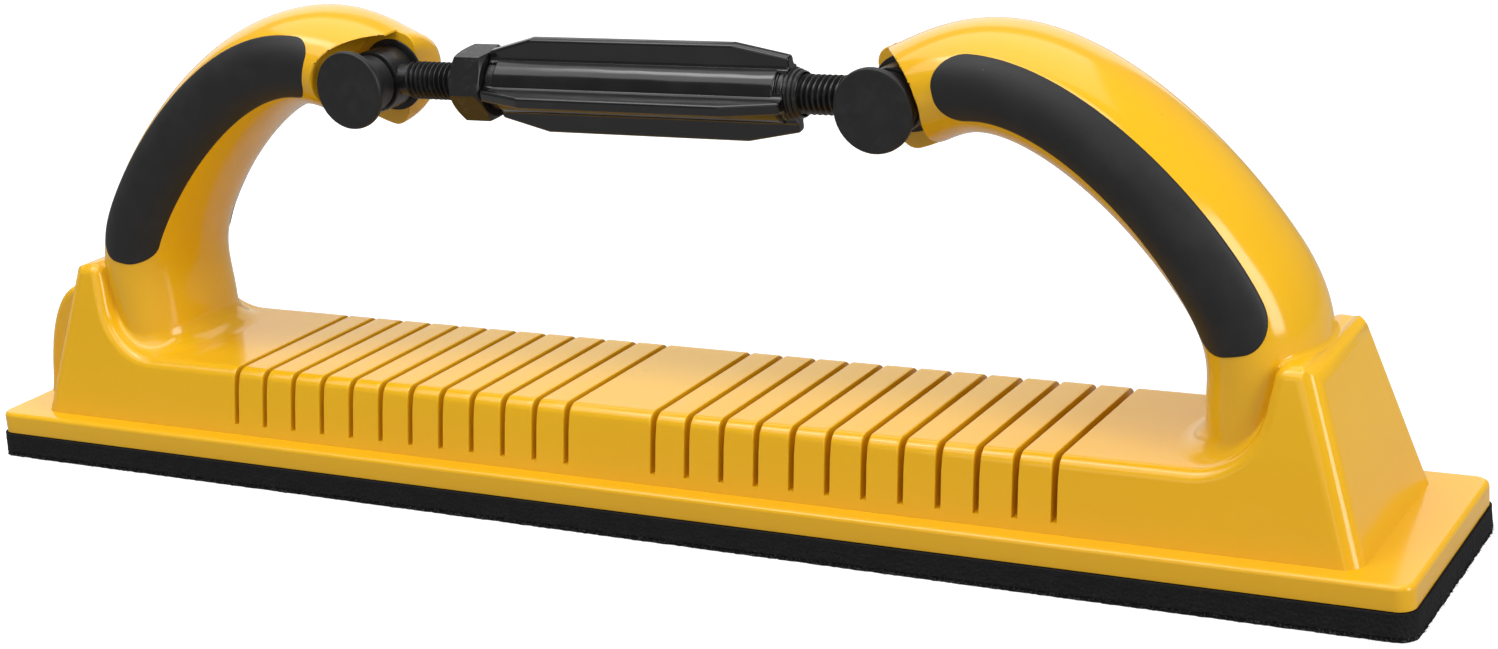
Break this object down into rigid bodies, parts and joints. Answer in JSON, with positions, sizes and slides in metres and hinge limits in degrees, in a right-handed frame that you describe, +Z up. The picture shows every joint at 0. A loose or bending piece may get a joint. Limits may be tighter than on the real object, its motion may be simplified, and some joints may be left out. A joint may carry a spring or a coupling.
{
  "type": "sanding block",
  "caption": "Long flexible sanding block: slotted board on a foam pad, two curved handles with soft grips, and a turnbuckle between the handle tips that bends the board.",
  "frame": {"origin": "bottom centre of the hook sheet, midway between the two handles", "axes": "+X along the board toward the end without the boss, +Y toward the back, away from the pin caps, +Z up"},
  "size_m": [0.401, 0.07, 0.1236],
  "materials": {
    "yellow_shell": "glossy moulded",
    "soft_grip": "matte",
    "black_plastic": "semi-gloss moulded",
    "black_steel": "black oxide",
    "foam": "closed-cell foam",
    "tape": "matte",
    "hook": "fuzzy"
  },
  "bodies": {
    "board": {"base_board": "yellow_shell", "foam_pad": "foam", "adhesive_tape": "tape", "hook_sheet": "hook"},
    "left_end": {"left_handle": "yellow_shell", "left_front_grip": "soft_grip", "left_rear_grip": "soft_grip", "left_pivot_pin": "black_steel", "left_pin_cap": "black_plastic", "left_washer": "black_plastic"},
    "right_end": {"right_handle": "yellow_shell", "right_front_grip": "soft_grip", "right_rear_grip": "soft_grip", "right_pivot_pin": "black_steel", "right_pin_cap": "black_plastic", "right_washer": "black_plastic"},
    "left_rod": {"left_eye_rod": "black_steel"},
    "right_rod": {"right_eye_rod": "black_steel"},
    "turnbuckle": {"turnbuckle_grip": "black_plastic", "turnbuckle_sleeve": "black_steel"},
    "nut": {"lock_nut": "black_steel"}
  },
  "joints": [
    {"name": "turnbuckle_spin", "type": "hinge", "parent": "board", "child": "turnbuckle", "pos_m": [0, -0.0037, 0.1058], "axis": [1, 0, 0], "range_deg": [-1188, 1188], "deforming": ["base_board", "foam_pad", "adhesive_tape", "hook_sheet"]},
    {"name": "left_bend", "type": "hinge", "parent": "board", "child": "left_end", "pos_m": [-0.0744, 0, 0.0107], "axis": [0, 1, 0], "range_deg": [-3, 3]},
    {"name": "right_bend", "type": "hinge", "parent": "board", "child": "right_end", "pos_m": [0.0744, 0, 0.0107], "axis": [0, -1, 0], "range_deg": [-3, 3]},
    {"name": "left_pivot", "type": "hinge", "parent": "left_end", "child": "left_rod", "pos_m": [-0.0744, 0, 0.1058], "axis": [0, 1, 0], "range_deg": [-3, 3]},
    {"name": "right_pivot", "type": "hinge", "parent": "right_end", "child": "right_rod", "pos_m": [0.0744, 0, 0.1058], "axis": [0, -1, 0], "range_deg": [-3, 3]},
    {"name": "lock_nut_spin", "type": "hinge", "parent": "turnbuckle", "child": "nut", "pos_m": [-0.0426, -0.0037, 0.1058], "axis": [1, 0, 0], "continuous": true}
  ],
  "couplings": [
    {"joint": "left_bend", "follows": "turnbuckle_spin", "ratio": 0.0025103},
    {"joint": "right_bend", "follows": "turnbuckle_spin", "ratio": 0.0025103},
    {"joint": "left_pivot", "follows": "turnbuckle_spin", "ratio": -0.0025103},
    {"joint": "right_pivot", "follows": "turnbuckle_spin", "ratio": -0.0025103}
  ]
}
